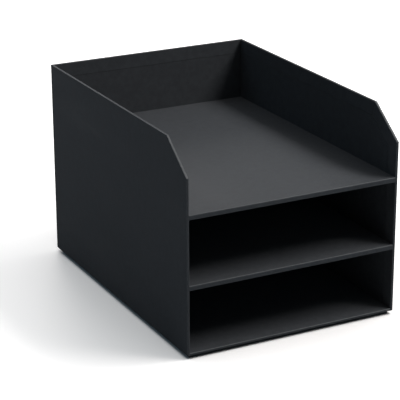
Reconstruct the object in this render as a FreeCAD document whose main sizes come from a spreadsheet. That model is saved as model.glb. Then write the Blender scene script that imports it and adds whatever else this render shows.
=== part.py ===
import FreeCAD, Part
import os

import Sketcher

# Letter tray with three tiers: solid boards glued edge to edge, covered and lined with thin paper.
# Millimetres. Origin on the floor under the middle of the tray, +Z up, open front towards -Y.

# Driving sizes: alias, millimetres, meaning
SIZES = (
    ("width", 235.0, "over the two side walls"),
    ("depth", 323.0, "from the front edges to the outside of the back"),
    ("lower_bay", 64.7, "clear height between base and middle shelf"),
    ("middle_bay", 66.5, "clear height between middle and top shelf"),
    ("top_bay", 67.5, "rim above the top shelf"),
    ("chamfer_run", 41.2, "sloping corner, measured back along the rim"),
    ("chamfer_drop", 31.0, "sloping corner, measured down the front edge"),
    ("wall_board", 2.1, "board of the sides and the back"),
    ("base_board", 2.1, "board of the base"),
    ("shelf_ply", 2.3, "each of the two boards glued together in a shelf"),
    ("paper", 0.3, "covering and lining paper with its glue"),
    ("turn_in", 15.0, "cover paper folded in over the free edges and under the base"),
    ("turn_under", 18.0, "wrap folded under the front edge of the base and the shelves"),
    ("seam", 0.5, "bare line between a turned-in edge and the paper beside it"),
    ("mitre_cut", 0.3, "slit where the turned-in edges meet at a bend of the outline"),
    ("front_round", 0.8, "rounding of the base's and the shelves' front edges, under the paper"),
    ("foot_board", 3.7, "board glued under the base"),
    ("foot_inset", 4.0, "its setback from the outside of the walls"),
)

# Planes, as expressions on the sizes
HALF_WIDTH = "Sizes.width / 2"
FRONT = "(-Sizes.depth / 2)"
BACK = "(Sizes.depth / 2)"
WALL = "(Sizes.wall_board + 2 * Sizes.paper)"
SHELF = "(2 * Sizes.shelf_ply + 2 * Sizes.paper)"
INNER_X = f"({HALF_WIDTH} - {WALL})"
INNER_BACK = f"({BACK} - {WALL})"
BOARD_X = f"({HALF_WIDTH} - Sizes.paper - Sizes.wall_board)"
BOARD_BACK = f"({BACK} - Sizes.paper - Sizes.wall_board)"
UNDERSIDE = "Sizes.foot_board"
BASE_BOARD_TOP = f"({UNDERSIDE} + Sizes.paper + Sizes.base_board)"
BASE_TOP = f"({BASE_BOARD_TOP} + Sizes.paper)"
MIDDLE_SHELF = f"({BASE_TOP} + Sizes.lower_bay)"
TOP_SHELF = f"({MIDDLE_SHELF} + {SHELF} + Sizes.middle_bay)"
RIM = f"({TOP_SHELF} + {SHELF} + Sizes.top_bay)"
SLOPE = "sqrt(Sizes.chamfer_run^2 + Sizes.chamfer_drop^2)"
SEAM_EDGE = "(Sizes.turn_in + Sizes.seam)"

SIDES = {"left": -1, "right": 1}
NEAR = 1e-4

doc = FreeCAD.newDocument("letter_tray")
sheet = doc.addObject("Spreadsheet::Sheet", "Sizes")
for row, (alias, size, meaning) in enumerate(SIZES, start=1):
    sheet.set(f"A{row}", meaning)
    sheet.set(f"B{row}", str(size))
    sheet.setAlias(f"B{row}", alias)
doc.recompute()


def value(expression):
    """The number that an expression on the sizes gives now."""
    return float(sheet.evalExpression(expression))


def edge_radius(board):
    """Rounding of a wall board's edge under the paper: a paper's thickness, less on a very thin board."""
    return f"min(Sizes.paper; 0.4 * {board})"


def front_radius(board):
    """Rounding of a level board's front edge under the paper, less on a very thin board."""
    return f"min(Sizes.front_round; 0.4 * {board})"


# Sketches and features

def new_body(label):
    body = doc.addObject("PartDesign::Body", label)
    body.Label = label
    return body


def outline(body, role, corners, lift="0"):
    """A closed sketch through corners on one of the body's own origin planes, lifted along its normal."""
    sketch = body.newObject("Sketcher::SketchObject", f"{body.Label}_outline")
    plane = next(p for p in body.Origin.OriginFeatures if p.Role == role)
    sketch.AttachmentSupport = (plane, "")
    sketch.MapMode = "FlatFace"
    sketch.setExpression("AttachmentOffset.Base.z", lift)
    points = [FreeCAD.Vector(value(across), value(up), 0) for across, up in corners]
    for start, end in zip(points, points[1:] + points[:1]):
        sketch.addGeometry(Part.LineSegment(start, end))
    count = len(corners)
    for line in range(count):
        sketch.addConstraint(Sketcher.Constraint("Coincident", line, 2, (line + 1) % count, 1))
    for line, expressions in enumerate(corners):
        for kind, expression in zip(("DistanceX", "DistanceY"), expressions):
            here = value(expression)
            index = sketch.addConstraint(Sketcher.Constraint(kind, -1, 1, line, 1, here))
            sketch.setExpression(f"Constraints[{index}]", expression)
    return sketch


def pad(body, sketch, length, symmetric=False):
    feature = body.newObject("PartDesign::Pad", f"{body.Label}_pad")
    feature.Profile = sketch
    feature.SideType = "Symmetric" if symmetric else "One side"
    feature.setExpression("Length", length)
    doc.recompute()
    return feature


def pocket(body, sketch):
    """Cuts the sketch right through the body, both ways from its plane."""
    before = body.Shape.Volume
    feature = body.newObject("PartDesign::Pocket", f"{body.Label}_pocket")
    feature.Profile = sketch
    feature.Type = "ThroughAll"
    feature.SideType = "Symmetric"
    doc.recompute()
    if not body.Shape.Volume < before:
        raise RuntimeError(f"{feature.Label} cut nothing")
    return feature


def fillet(body, radius, wanted):
    """Rounds the straight edges of the body for which wanted(middle, direction) is true."""
    base = body.Tip
    names = []
    for index, edge in enumerate(base.Shape.Edges, start=1):
        start, end = edge.Vertexes[0].Point, edge.Vertexes[-1].Point
        if wanted((start + end) / 2, (end - start).normalize()):
            names.append(f"Edge{index}")
    feature = body.newObject("PartDesign::Fillet", f"{body.Label}_fillet")
    feature.Base = (base, names)
    feature.setExpression("Radius", radius)
    doc.recompute()
    return feature


def near(a, b):
    return abs(a - b) < NEAR


FOLD_RADIUS = f"({edge_radius('Sizes.wall_board')} + Sizes.paper)"


# The side walls' outline, a rectangle with a sloping corner at the top front

def upper_bend(inset):
    """Where the sloping edge meets the rim (y, z), on the outline set in by inset."""
    y = f"({FRONT} + Sizes.chamfer_run + {inset} * ({SLOPE} - Sizes.chamfer_run) / Sizes.chamfer_drop)"
    return y, f"({RIM} - {inset})"


def lower_bend(inset):
    """Where the sloping edge meets the front edge (y, z), on the outline set in by inset."""
    z = f"({RIM} - Sizes.chamfer_drop - {inset} * ({SLOPE} - Sizes.chamfer_drop) / Sizes.chamfer_run)"
    return f"({FRONT} + {inset})", z


def wall_outline(inset, floor, back):
    """Corners (y, z) of the wall's outline, set in from its free edges, down to floor and back to back."""
    return (
        (f"({FRONT} + {inset})", floor),
        (back, floor),
        (back, f"({RIM} - {inset})"),
        upper_bend(inset),
        lower_bend(inset),
    )


# Boards

def mitre(body, sign, removed_x, removed_y):
    """Cuts one upright end at 45 degrees through the rear corner, taking away the side given last."""
    over = "Sizes.wall_board"
    tip_x = f"{sign} * ({HALF_WIDTH} - Sizes.paper + {over})"
    root_x = f"{sign} * ({BOARD_X} - {over})"
    tip_y = f"({BACK} - Sizes.paper + {over})"
    root_y = f"({BOARD_BACK} - {over})"
    third = ({"tip": tip_x, "root": root_x}[removed_x], {"tip": tip_y, "root": root_y}[removed_y])
    pocket(body, outline(body, "XY_Plane", ((tip_x, tip_y), (root_x, root_y), third)))


def side_board(side):
    """Side wall's board, mitred at the back, its free edges slightly rounded."""
    sign = SIDES[side]
    body = new_body(f"{side}_side_board")
    corners = wall_outline("Sizes.paper", f"({UNDERSIDE} + Sizes.paper)", f"({BACK} - Sizes.paper)")
    middle = f"{sign} * ({BOARD_X} + Sizes.wall_board / 2)"
    pad(body, outline(body, "YZ_Plane", corners, middle), "Sizes.wall_board", symmetric=True)
    mitre(body, sign, "root", "tip")
    outer = sign * value(f"{HALF_WIDTH} - Sizes.paper")
    front = value(f"{FRONT} + Sizes.paper")
    bottom = value(f"{UNDERSIDE} + Sizes.paper")

    def free(middle, direction):
        if near(abs(direction.x), 1):
            return near(middle.y, front) and near(middle.z, bottom)
        if near(middle.z, bottom):
            return near(middle.x, outer)
        upright = near(abs(direction.z), 1)
        return not upright and near(direction.x, 0) or near(middle.y, front)

    fillet(body, edge_radius("Sizes.wall_board"), free)
    return body


def back_board():
    """Back wall's board, mitred at both ends."""
    body = new_body("back_board")
    outer_x = f"({HALF_WIDTH} - Sizes.paper)"
    bottom = f"({UNDERSIDE} + Sizes.paper)"
    top = f"({RIM} - Sizes.paper)"
    corners = ((f"-{outer_x}", bottom), (outer_x, bottom), (outer_x, top), (f"-{outer_x}", top))
    middle = f"-({BOARD_BACK} + Sizes.wall_board / 2)"
    pad(body, outline(body, "XZ_Plane", corners, middle), "Sizes.wall_board", symmetric=True)
    for sign in SIDES.values():
        mitre(body, sign, "tip", "root")
    outer_y = value(f"{BACK} - Sizes.paper")

    def free(middle, direction):
        along = near(abs(direction.x), 1)
        return along and (near(middle.z, value(top)) or near(middle.y, outer_y))

    fillet(body, edge_radius("Sizes.wall_board"), free)
    return body


def flat_board(label, thickness, half_width, back, underside, rounded):
    """A level board behind the front paper; rounded lists which front edges are eased."""
    body = new_body(label)
    front = f"({FRONT} + Sizes.paper)"
    corners = ((front, "0"), (back, "0"), (back, thickness), (front, thickness))
    pad(body, outline(body, "YZ_Plane", corners), f"2 * {half_width}", symmetric=True)
    heights = {"lower": 0.0, "upper": value(thickness)}

    def free(middle, direction):
        along = near(abs(direction.x), 1) and near(middle.y, value(front))
        return along and any(near(middle.z, heights[edge]) for edge in rounded)

    fillet(body, front_radius(thickness), free)
    body.setExpression("Placement.Base.z", underside)
    return body


def foot_board():
    """The board under the base, which hides the folded paper and stands on the floor."""
    body = new_body("foot_board")
    x = f"({HALF_WIDTH} - Sizes.foot_inset)"
    y = f"({BACK} - Sizes.foot_inset)"
    corners = ((f"-{x}", f"-{y}"), (x, f"-{y}"), (x, y), (f"-{x}", y))
    pad(body, outline(body, "XY_Plane", corners), "Sizes.foot_board")
    return body


# Papers

def front_wrap(label, plies, board, underside):
    """One sheet over the top of one or more plies of board, down their front edge and folded under."""
    body = new_body(label)
    core = f"({plies} * {board})"
    board_front = f"({FRONT} + Sizes.paper)"
    fold_end = f"({FRONT} + Sizes.turn_under)"
    core_top = f"(Sizes.paper + {core})"
    top = f"({core_top} + Sizes.paper)"
    corners = (
        (FRONT, "0"),
        (fold_end, "0"),
        (fold_end, "Sizes.paper"),
        (board_front, "Sizes.paper"),
        (board_front, core_top),
        (INNER_BACK, core_top),
        (INNER_BACK, top),
        (FRONT, top),
    )
    pad(body, outline(body, "YZ_Plane", corners), f"2 * {INNER_X}", symmetric=True)
    for y, radius in ((board_front, front_radius(board)), (FRONT, f"{front_radius(board)} + Sizes.paper")):
        fillet(body, radius, lambda middle, direction: near(abs(direction.x), 1) and near(middle.y, value(y)))
    body.setExpression("Placement.Base.z", underside)
    return body


def shelf_underside_paper(label, underside):
    """The sheet under a shelf, from behind the folded wrap to the back."""
    body = new_body(label)
    front = f"({FRONT} + Sizes.turn_under + Sizes.seam)"
    corners = ((f"-{INNER_X}", front), (INNER_X, front), (INNER_X, INNER_BACK), (f"-{INNER_X}", INNER_BACK))
    pad(body, outline(body, "XY_Plane", corners), "Sizes.paper")
    body.setExpression("Placement.Base.z", underside)
    return body


def side_lining(side):
    """Paper on a side wall's inner face, inside the turned-in edge of the cover."""
    body = new_body(f"{side}_lining")
    corners = wall_outline(SEAM_EDGE, BASE_BOARD_TOP, INNER_BACK)
    middle = f"{SIDES[side]} * ({INNER_X} + Sizes.paper / 2)"
    pad(body, outline(body, "YZ_Plane", corners, middle), "Sizes.paper", symmetric=True)
    return body


def back_lining():
    """Paper on the back wall's inner face, below the turned-in edge of the cover."""
    body = new_body("back_lining")
    bottom = BASE_BOARD_TOP
    top = f"({RIM} - {SEAM_EDGE})"
    corners = ((f"-{BOARD_X}", bottom), (BOARD_X, bottom), (BOARD_X, top), (f"-{BOARD_X}", top))
    middle = f"-({INNER_BACK} + Sizes.paper / 2)"
    pad(body, outline(body, "XZ_Plane", corners, middle), "Sizes.paper", symmetric=True)
    return body


def cover_envelope():
    """The walls with all their paper, as one solid, and the folds under the base."""
    body = new_body("cover_envelope")
    corners = wall_outline("0", UNDERSIDE, BACK)
    pad(body, outline(body, "YZ_Plane", corners), "Sizes.width", symmetric=True)

    over = f"({FRONT} - {WALL})"
    inside = ((f"-{INNER_X}", over), (INNER_X, over), (INNER_X, INNER_BACK), (f"-{INNER_X}", INNER_BACK))
    hollow = body.newObject("PartDesign::Pocket", "inside_of_walls")
    hollow.Profile = outline(body, "XY_Plane", inside, f"({UNDERSIDE} + Sizes.paper)")
    hollow.Type = "ThroughAll"
    hollow.Reversed = True
    doc.recompute()

    fold_x = f"({HALF_WIDTH} - Sizes.turn_in)"
    fold_back = f"({BACK} - Sizes.turn_in)"
    wrap_end = f"({FRONT} + Sizes.turn_under + Sizes.seam)"
    bare = (
        (f"-{INNER_X}", over),
        (INNER_X, over),
        (INNER_X, wrap_end),
        (fold_x, wrap_end),
        (fold_x, fold_back),
        (f"-{fold_x}", fold_back),
        (f"-{fold_x}", wrap_end),
        (f"-{INNER_X}", wrap_end),
    )
    pocket(body, outline(body, "XY_Plane", bare))

    outer_x, inner_x = value(HALF_WIDTH), value(INNER_X)
    front, back, inner_back = value(FRONT), value(BACK), value(INNER_BACK)
    bottom, rim = value(UNDERSIDE), value(RIM)

    def folded(middle, direction):
        if near(abs(direction.x), 1):
            outer_edge = near(middle.y, back) or near(middle.y, front) and near(middle.z, bottom)
            return outer_edge or near(middle.y, inner_back) and near(middle.z, rim)
        if near(abs(middle.x), outer_x):
            return True
        sloping = not near(abs(direction.y), 1) and not near(abs(direction.z), 1)
        return near(abs(middle.x), inner_x) and (near(middle.z, rim) or near(middle.y, front) or sloping)

    fillet(body, FOLD_RADIUS, folded)
    return body


def lined_faces():
    """The room that the linings and their seams take out of the cover's inner layer."""
    body = new_body("lined_faces")
    corners = wall_outline("Sizes.turn_in", BASE_BOARD_TOP, BOARD_BACK)
    pad(body, outline(body, "YZ_Plane", corners), f"2 * {BOARD_X}", symmetric=True)
    return body


def slope_mitre(label, bend, opened):
    """Slit through both sides' turned-in edge, from a bend of the sloping corner in to the seam.

    opened is the direction (y, z) in which the slit is mitre_cut wide."""
    body = new_body(label)
    start = bend(FOLD_RADIUS)
    end = bend(SEAM_EDGE)
    half_y, half_z = (f"{share} * Sizes.mitre_cut / 2" for share in opened)
    corners = (
        (f"({start[0]} - {half_y})", f"({start[1]} - {half_z})"),
        (f"({start[0]} + {half_y})", f"({start[1]} + {half_z})"),
        (f"({end[0]} + {half_y})", f"({end[1]} + {half_z})"),
        (f"({end[0]} - {half_y})", f"({end[1]} - {half_z})"),
    )
    pad(body, outline(body, "YZ_Plane", corners), f"2 * {BOARD_X}", symmetric=True)
    return body


def corner_mitre(side):
    """Slit through the fold under the base, in from a rear corner at 45 degrees."""
    body = new_body(f"{side}_corner_mitre")
    sign = SIDES[side]
    corners = []
    for inset, shares in ((FOLD_RADIUS, (1, -1)), ("Sizes.turn_in", (-1, 1))):
        for share in shares:
            x = f"{sign} * ({HALF_WIDTH} - {inset} + {share} * Sizes.mitre_cut / 2)"
            corners.append((x, f"({BACK} - {inset})"))
    pad(body, outline(body, "XY_Plane", corners), f"({UNDERSIDE} + Sizes.paper)")
    return body


def cover_paper(boards):
    """One sheet round both sides and the back, folded over every free edge: the envelope less the boards."""
    inside = doc.addObject("Part::MultiFuse", "inside_of_cover")
    inside.Shapes = [
        *boards,
        lined_faces(),
        slope_mitre("upper_slope_mitre", upper_bend, (1, 0)),
        slope_mitre("lower_slope_mitre", lower_bend, (0, 1)),
        *(corner_mitre(side) for side in SIDES),
    ]
    cover = doc.addObject("Part::Cut", "cover_paper")
    cover.Label = "cover_paper"
    cover.Base = cover_envelope()
    cover.Tool = inside
    doc.recompute()
    return cover


# Assembly

def shelf(name, underside):
    """Two plies glued face to face, a wrap over top and front, and a sheet underneath."""
    ply = "Sizes.shelf_ply"
    lower = f"({underside} + Sizes.paper)"
    return [
        flat_board(f"{name}_lower_ply", ply, INNER_X, INNER_BACK, lower, ("lower",)),
        flat_board(f"{name}_upper_ply", ply, INNER_X, INNER_BACK, f"({lower} + {ply})", ("upper",)),
        front_wrap(f"{name}_wrap", 2, ply, underside),
        shelf_underside_paper(f"{name}_underside_paper", underside),
    ]


def build():
    base = flat_board("base_board", "Sizes.base_board", BOARD_X, BOARD_BACK,
                      f"({UNDERSIDE} + Sizes.paper)", ("lower", "upper"))
    boards = [*(side_board(side) for side in SIDES), back_board(), base]
    return [
        *boards,
        foot_board(),
        cover_paper(boards),
        *(side_lining(side) for side in SIDES),
        back_lining(),
        front_wrap("base_wrap", 1, "Sizes.base_board", UNDERSIDE),
        *shelf("middle_shelf", MIDDLE_SHELF),
        *shelf("top_shelf", TOP_SHELF),
    ]


def check(pieces):
    """Stops before anything is written if a feature failed or a piece isn't one sound solid."""
    failed = [item.Label for item in doc.Objects if {"Invalid", "Error"} & set(item.State)]
    if failed:
        raise RuntimeError(f"failed features: {failed}")
    for piece in pieces:
        shape = piece.Shape
        if shape.isNull() or not shape.isValid() or len(shape.Solids) != 1:
            raise RuntimeError(f"{piece.Label} isn't one valid solid")


pieces = build()
doc.recompute()
check(pieces)
os.makedirs("parts", exist_ok=True)
for piece in pieces:
    piece.Shape.exportStep(f"parts/{piece.Label}.step")
    print(f"{piece.Label:32s} {piece.Shape.Volume:12.1f} mm3")
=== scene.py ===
import math

import bpy
from mathutils import Matrix, Vector


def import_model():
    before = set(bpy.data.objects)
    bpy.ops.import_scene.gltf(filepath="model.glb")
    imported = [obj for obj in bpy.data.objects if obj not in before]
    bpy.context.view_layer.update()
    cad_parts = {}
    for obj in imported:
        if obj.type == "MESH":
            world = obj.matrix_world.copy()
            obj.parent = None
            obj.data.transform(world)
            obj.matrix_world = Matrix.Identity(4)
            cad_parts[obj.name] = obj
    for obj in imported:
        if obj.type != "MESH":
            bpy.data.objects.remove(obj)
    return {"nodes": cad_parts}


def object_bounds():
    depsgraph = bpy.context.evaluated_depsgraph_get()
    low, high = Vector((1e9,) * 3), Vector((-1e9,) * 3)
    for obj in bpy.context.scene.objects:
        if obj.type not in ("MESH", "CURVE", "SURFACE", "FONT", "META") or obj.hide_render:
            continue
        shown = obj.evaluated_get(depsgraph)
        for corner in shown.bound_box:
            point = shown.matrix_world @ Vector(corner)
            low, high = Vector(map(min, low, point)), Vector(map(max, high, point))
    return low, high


# A charcoal letter tray of paper-covered board, on a pale studio floor.
# The pieces come ready made in the frame. This script gives them their papers and boards,
# and sets up the floor, the light and the camera. Metres; +Z up, open front towards -Y.

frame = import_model()
cad_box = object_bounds()
scene = bpy.context.scene
MM = 0.001
GROUND = cad_box[0].z
WHITE = (1.0, 1.0, 1.0, 1.0)


class Nodes:
    """Short calls for building a node tree. Any input takes a socket or a plain value."""

    def __init__(self, tree):
        self.tree = tree

    def add(self, kind, inputs=None, **settings):
        node = self.tree.nodes.new(kind)
        for name, setting in settings.items():
            setattr(node, name, setting)
        for name, source in (inputs or {}).items():
            self.feed(node.inputs[name], source)
        return node

    def feed(self, socket, source):
        if isinstance(source, bpy.types.NodeSocket):
            self.tree.links.new(source, socket)
        else:
            socket.default_value = source

    def math(self, operation, *sources):
        node = self.add("ShaderNodeMath", dict(enumerate(sources)), operation=operation)
        return node.outputs["Value"]

    def vector(self, operation, inputs, output):
        return self.add("ShaderNodeVectorMath", inputs, operation=operation).outputs[output]

    def fade(self, source, low, high, to_low=0.0, to_high=1.0):
        """A smooth change from to_low to to_high as source goes from low to high."""
        inputs = {"Value": source, "From Min": low, "From Max": high, "To Min": to_low, "To Max": to_high}
        return self.add("ShaderNodeMapRange", inputs, interpolation_type="SMOOTHSTEP").outputs["Result"]

    def noise(self, place, size, detail=3.0, roughness=0.55, distortion=0.0):
        """Blotches about size across, in the unit of place."""
        inputs = {"Vector": place, "Scale": 1.0 / size, "Detail": detail,
                  "Roughness": roughness, "Distortion": distortion}
        return self.add("ShaderNodeTexNoise", inputs).outputs["Fac"]

    def scaled(self, place, scale):
        return self.add("ShaderNodeMapping", {"Vector": place, "Scale": scale}).outputs["Vector"]

    def shaded(self, colour, share):
        """A fixed colour made lighter or darker by share."""
        return self.vector("SCALE", {0: colour[:3], "Scale": share}, "Vector")

    def mixed(self, share, first, second):
        node = self.add("ShaderNodeMix", data_type="RGBA")
        for socket, source in zip((node.inputs[0], node.inputs[6], node.inputs[7]), (share, first, second)):
            self.feed(socket, source)
        return node.outputs[2]

    def bump(self, height, distance, normal=None):
        inputs = {"Height": height, "Distance": distance, "Strength": 1.0}
        if normal is not None:
            inputs["Normal"] = normal
        return self.add("ShaderNodeBump", inputs).outputs["Normal"]

    def occlusion(self, reach):
        """The share of the sky that nothing closes off within reach: 1 is all of it."""
        return self.add("ShaderNodeAmbientOcclusion", {"Distance": reach}, samples=8).outputs["AO"]

    def place(self):
        """The surface's own place in the object's frame."""
        return self.add("ShaderNodeTexCoord").outputs["Object"]

    def millimetres(self):
        return self.scaled(self.place(), (1 / MM,) * 3)


def new_material(name):
    material = bpy.data.materials.new(name)
    material.use_nodes = True
    material.node_tree.nodes.clear()
    return material, Nodes(material.node_tree)


# Papers and boards

CHARCOAL = (0.0542, 0.0566, 0.0608, 1.0)
# The lining paper is the cover paper made a little darker: painted shade on the inner faces and under the
# tray
SHADED_LINING = (0.0512, 0.0534, 0.0574, 1.0)
# The lighter edge colour: rubbed paper on the arrises, and a painted highlight on the arrises and the
# sloping edges
WORN_AND_HIGHLIGHT = (0.158, 0.160, 0.162, 1.0)
BOARD = (0.038, 0.038, 0.039, 1.0)
PAPER_ROUGHNESS = 0.8
PAPER_SPECULAR = 0.05
BOARD_SPECULAR = 0.2
# The way the sloping front edges of the side walls face
SLOPE_NORMAL = (0.0, -0.601, 0.799)
# How much lighter an edge is painted at most: on the arrises rubbed-off dye and a painted highlight, on the
# sloping edges a painted highlight
ARRIS_WEAR_AND_HIGHLIGHT = 0.55
SLOPE_HIGHLIGHT = 0.85
# Relief: the board's unevenness under the paper, the paper's clouds, its grain and fibres, bare pulp
BOARD_RELIEF = 0.03 * MM
CLOUD_RELIEF = 0.008 * MM
GRAIN_RELIEF = 0.018 * MM
PULP_RELIEF = 0.03 * MM


def facing(nodes, normal, direction):
    """How squarely the surface faces along a direction, or against it: 1 is squarely."""
    return nodes.math("ABSOLUTE", nodes.vector("DOT_PRODUCT", {0: normal, 1: direction}, "Value"))


def rubbed_and_highlit_edges(nodes, breaks):
    """Where the edges are painted lighter: patchily on the rounded arrises, for rubbed-off dye and a
    painted highlight; evenly on the sloping edges, a painted highlight.
    """
    normal = nodes.add("ShaderNodeNewGeometry").outputs["Normal"]
    square = 0.0
    for axis in ((1, 0, 0), (0, 1, 0), (0, 0, 1)):
        square = nodes.math("MAXIMUM", square, facing(nodes, normal, axis))
    arris = nodes.math("MULTIPLY", nodes.fade(square, 0.995, 0.93), breaks)
    slope = nodes.fade(facing(nodes, normal, SLOPE_NORMAL), 0.96, 0.99)
    return nodes.math("MAXIMUM", nodes.math("MULTIPLY", arris, ARRIS_WEAR_AND_HIGHLIGHT),
                      nodes.math("MULTIPLY", slope, SLOPE_HIGHLIGHT))


def paper(name, colour):
    """Dyed paper pulled over board: cloudy, with fine fibres, rubbed arrises with a painted highlight, a
    painted highlight on the sloping edges, and a soft uneven sheen.
    """
    material, nodes = new_material(name)
    place = nodes.millimetres()
    clouds = nodes.noise(place, 7.0, detail=4.0)
    grain = nodes.noise(place, 0.42, detail=3.0, roughness=0.65)
    strands = nodes.noise(nodes.scaled(place, (1.0, 0.35, 1.0)), 0.9, detail=2.0, distortion=1.2)
    fibre = nodes.fade(nodes.math("ABSOLUTE", nodes.math("SUBTRACT", strands, 0.5)), 0.022, 0.0)
    unevenness = nodes.noise(place, 34.0, detail=2.0)
    handling = nodes.fade(nodes.noise(nodes.scaled(place, (1.0, 0.22, 1.0)), 46.0, detail=5.0), 0.45, 0.72)
    breaks = nodes.fade(nodes.noise(place, 2.6, detail=5.0, roughness=0.7), 0.36, 0.64, 0.35, 1.0)
    wear_and_highlight = rubbed_and_highlit_edges(nodes, breaks)

    cloudy = nodes.fade(clouds, 0.3, 0.7, 0.92, 1.08)
    grainy = nodes.fade(grain, 0.3, 0.7, -0.13, 0.13)
    light = nodes.math("ADD", nodes.math("ADD", cloudy, grainy), nodes.math("MULTIPLY", fibre, 0.24))
    # The edges are painted lighter: rubbed-off dye and a painted highlight
    base = nodes.mixed(wear_and_highlight, nodes.shaded(colour, light), WORN_AND_HIGHLIGHT)

    matt = nodes.fade(clouds, 0.3, 0.7, PAPER_ROUGHNESS - 0.04, PAPER_ROUGHNESS + 0.04)
    matt = nodes.math("ADD", matt, nodes.math("MULTIPLY", handling, -0.05))
    matt = nodes.math("ADD", matt, nodes.math("MULTIPLY", wear_and_highlight, 0.06))

    normal = nodes.bump(unevenness, BOARD_RELIEF)
    normal = nodes.bump(clouds, CLOUD_RELIEF, normal)
    normal = nodes.bump(nodes.math("ADD", grain, nodes.math("MULTIPLY", fibre, 0.5)), GRAIN_RELIEF, normal)

    shader = nodes.add("ShaderNodeBsdfPrincipled", {
        "Base Color": base, "Roughness": matt, "Specular IOR Level": PAPER_SPECULAR, "Normal": normal})
    nodes.add("ShaderNodeOutputMaterial", {"Surface": shader.outputs["BSDF"]})
    return material


def board(name, colour):
    """Board dyed through, seen in the seams and under the tray: coarse, dry, with pressed pulp."""
    material, nodes = new_material(name)
    place = nodes.millimetres()
    pulp = nodes.noise(place, 1.6, detail=6.0, roughness=0.7)
    layers = nodes.noise(nodes.scaled(place, (0.15, 0.15, 1.0)), 0.28, detail=2.0)
    light = nodes.math("ADD", nodes.fade(pulp, 0.3, 0.7, 0.85, 1.15),
                       nodes.fade(layers, 0.3, 0.7, -0.08, 0.08))
    shader = nodes.add("ShaderNodeBsdfPrincipled", {
        "Base Color": nodes.shaded(colour, light), "Roughness": nodes.fade(pulp, 0.3, 0.7, 0.85, 0.95),
        "Specular IOR Level": BOARD_SPECULAR, "Normal": nodes.bump(pulp, PULP_RELIEF)})
    nodes.add("ShaderNodeOutputMaterial", {"Surface": shader.outputs["BSDF"]})
    return material


def dress():
    cover = paper("cover_paper", CHARCOAL)
    lining = paper("lining_paper", SHADED_LINING)
    solid = board("solid_board", BOARD)
    for name, piece in frame["nodes"].items():
        if name.endswith(("_lining", "_underside_paper")):
            finish = lining
        elif name.endswith(("_board", "_ply")):
            finish = solid
        else:
            finish = cover
        for slot in piece.material_slots:
            slot.material = finish


# Floor, light and camera

FLOOR_HALF_SIZE = 14.0
FLOOR_GAP = 0.03 * MM
# The floor's colour as it is seen, and as it throws light back
FLOOR = (0.860, 0.830, 0.810, 1.0)
FLOOR_BOUNCE = (0.410, 0.445, 0.475, 1.0)
# Background white added to the seen floor: less near the tray, all of it far off, and fading where the tray
# closes off the sky and where it almost touches the floor, which paints shade on the floor around and under
# the tray
FLOOR_LIFT = 0.69
LIFT_NEAR = 0.8
LIFT_FAR = 2.2
SKY_REACH = 0.35
CONTACT_REACH = 0.0065


def seen_directly(nodes):
    """1 for rays that see the background itself: camera, glossy and transmission rays."""
    path = nodes.add("ShaderNodeLightPath").outputs
    return nodes.math("MAXIMUM", nodes.math("MAXIMUM", path["Is Camera Ray"], path["Is Glossy Ray"]),
                      path["Is Transmission Ray"])


def floor():
    size = FLOOR_HALF_SIZE
    corners = [(-size, -size), (size, -size), (size, size), (-size, size)]
    mesh = bpy.data.meshes.new("floor")
    mesh.from_pydata([(x, y, GROUND - FLOOR_GAP) for x, y in corners], [], [(0, 1, 2, 3)])
    plane = bpy.data.objects.new("floor", mesh)
    scene.collection.objects.link(plane)

    material, nodes = new_material("studio_floor")
    seen = seen_directly(nodes)
    diffuse = nodes.add("ShaderNodeBsdfDiffuse", {"Color": nodes.mixed(seen, FLOOR_BOUNCE, FLOOR)})
    # Painted shade: the floor's white fades where the tray closes off the sky and near the contact
    painted_floor_shade = nodes.math("MULTIPLY", nodes.occlusion(SKY_REACH),
                       nodes.fade(nodes.occlusion(CONTACT_REACH), 0.3, 0.85))
    away = nodes.vector("LENGTH", {0: nodes.place()}, "Value")
    white = nodes.fade(away, LIFT_NEAR, LIFT_FAR, FLOOR_LIFT, 1.0)
    strength = nodes.math("MULTIPLY", nodes.math("MULTIPLY", seen, painted_floor_shade), white)
    lift = nodes.add("ShaderNodeEmission", {"Color": WHITE, "Strength": strength})
    both = nodes.add("ShaderNodeAddShader", {0: diffuse.outputs[0], 1: lift.outputs[0]})
    nodes.add("ShaderNodeOutputMaterial", {"Surface": both.outputs[0]})
    mesh.materials.append(material)


def world():
    sky = bpy.data.worlds.new("studio")
    scene.world = sky
    sky.use_nodes = True
    sky.node_tree.nodes.clear()
    nodes = Nodes(sky.node_tree)
    background = nodes.add("ShaderNodeBackground", {"Color": WHITE, "Strength": seen_directly(nodes)})
    nodes.add("ShaderNodeOutputWorld", {"Surface": background.outputs[0]})


PLAIN = (1.0, 1.0, 1.0)
COOL = (0.62, 1.0, 1.32)
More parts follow.
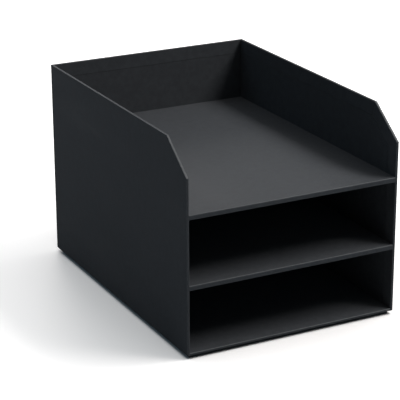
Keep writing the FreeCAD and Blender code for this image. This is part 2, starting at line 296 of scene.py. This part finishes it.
# Softboxes: name, direction from the tray, distance, width, length along Y, radiance, tint
SOFTBOXES = (
    ("key", (0.65, -0.46, 1.0), 2.4, 0.8, 1.1, 12.0, PLAIN),
    ("strip", (0.56, -0.08, 1.0), 2.3, 0.4, 0.9, 8.6, PLAIN),
    ("back_strip", (0.56, 1.2, 1.0), 2.8, 0.4, 1.4, 3.0, PLAIN),
    ("far_card", (0.70, 2.6, 1.0), 3.0, 1.0, 1.2, 12.6, PLAIN),
    ("front_card", (0.20, -1.0, 0.22), 3.0, 2.6, 1.0, 0.33, COOL),
    ("left_card", (-1.2, 0.5, 1.0), 3.0, 1.6, 2.0, 0.55, COOL),
    ("top_card", (0.1, -0.1, 1.0), 2.4, 2.4, 2.4, 0.65, PLAIN),
)
AIM = Vector((0.0, 0.0, 0.1))


def softbox(name, direction, distance, width, length, radiance, tint):
    """An even rectangular lamp facing the tray, its length as near to Y as it can lie."""
    data = bpy.data.lights.new(name, "AREA")
    data.shape = "RECTANGLE"
    data.size, data.size_y = width, length
    data.energy = radiance * width * length * math.pi
    data.color = tint
    lamp = bpy.data.objects.new(name, data)
    scene.collection.objects.link(lamp)
    away = Vector(direction).normalized()
    across = Vector((0, 1, 0)).cross(away).normalized()
    turn = Matrix((across, away.cross(across), away)).transposed().to_4x4()
    lamp.matrix_world = Matrix.Translation(AIM + away * distance) @ turn
    lamp.visible_camera = False


def lights():
    for softbox_facts in SOFTBOXES:
        softbox(*softbox_facts)


CAMERA_PLACE = (-0.77052, -1.45781, 0.69318)
# Yaw from +Y, pitch downwards and roll, in degrees
CAMERA_ANGLES = (-27.2374, 20.0350, 0.2472)
LENS = 149.865
SENSOR_WIDTH = 36.0


def camera():
    """Looks down on the open front and the left side, as the photograph does."""
    yaw, pitch, roll = (math.radians(angle) for angle in CAMERA_ANGLES)
    ahead = Vector((-math.sin(yaw) * math.cos(pitch), math.cos(yaw) * math.cos(pitch), -math.sin(pitch)))
    level = Vector((math.cos(yaw), math.sin(yaw), 0))
    down = ahead.cross(level)
    right = math.cos(roll) * level + math.sin(roll) * down
    below = -math.sin(roll) * level + math.cos(roll) * down
    data = bpy.data.cameras.new("camera")
    data.lens = LENS
    data.sensor_width = SENSOR_WIDTH
    eye = bpy.data.objects.new("camera", data)
    scene.collection.objects.link(eye)
    turn = Matrix((right, -below, -ahead)).transposed().to_4x4()
    eye.matrix_world = Matrix.Translation(CAMERA_PLACE) @ turn
    scene.camera = eye


dress()
floor()
world()
lights()
camera()
scene.view_settings.view_transform = "Standard"
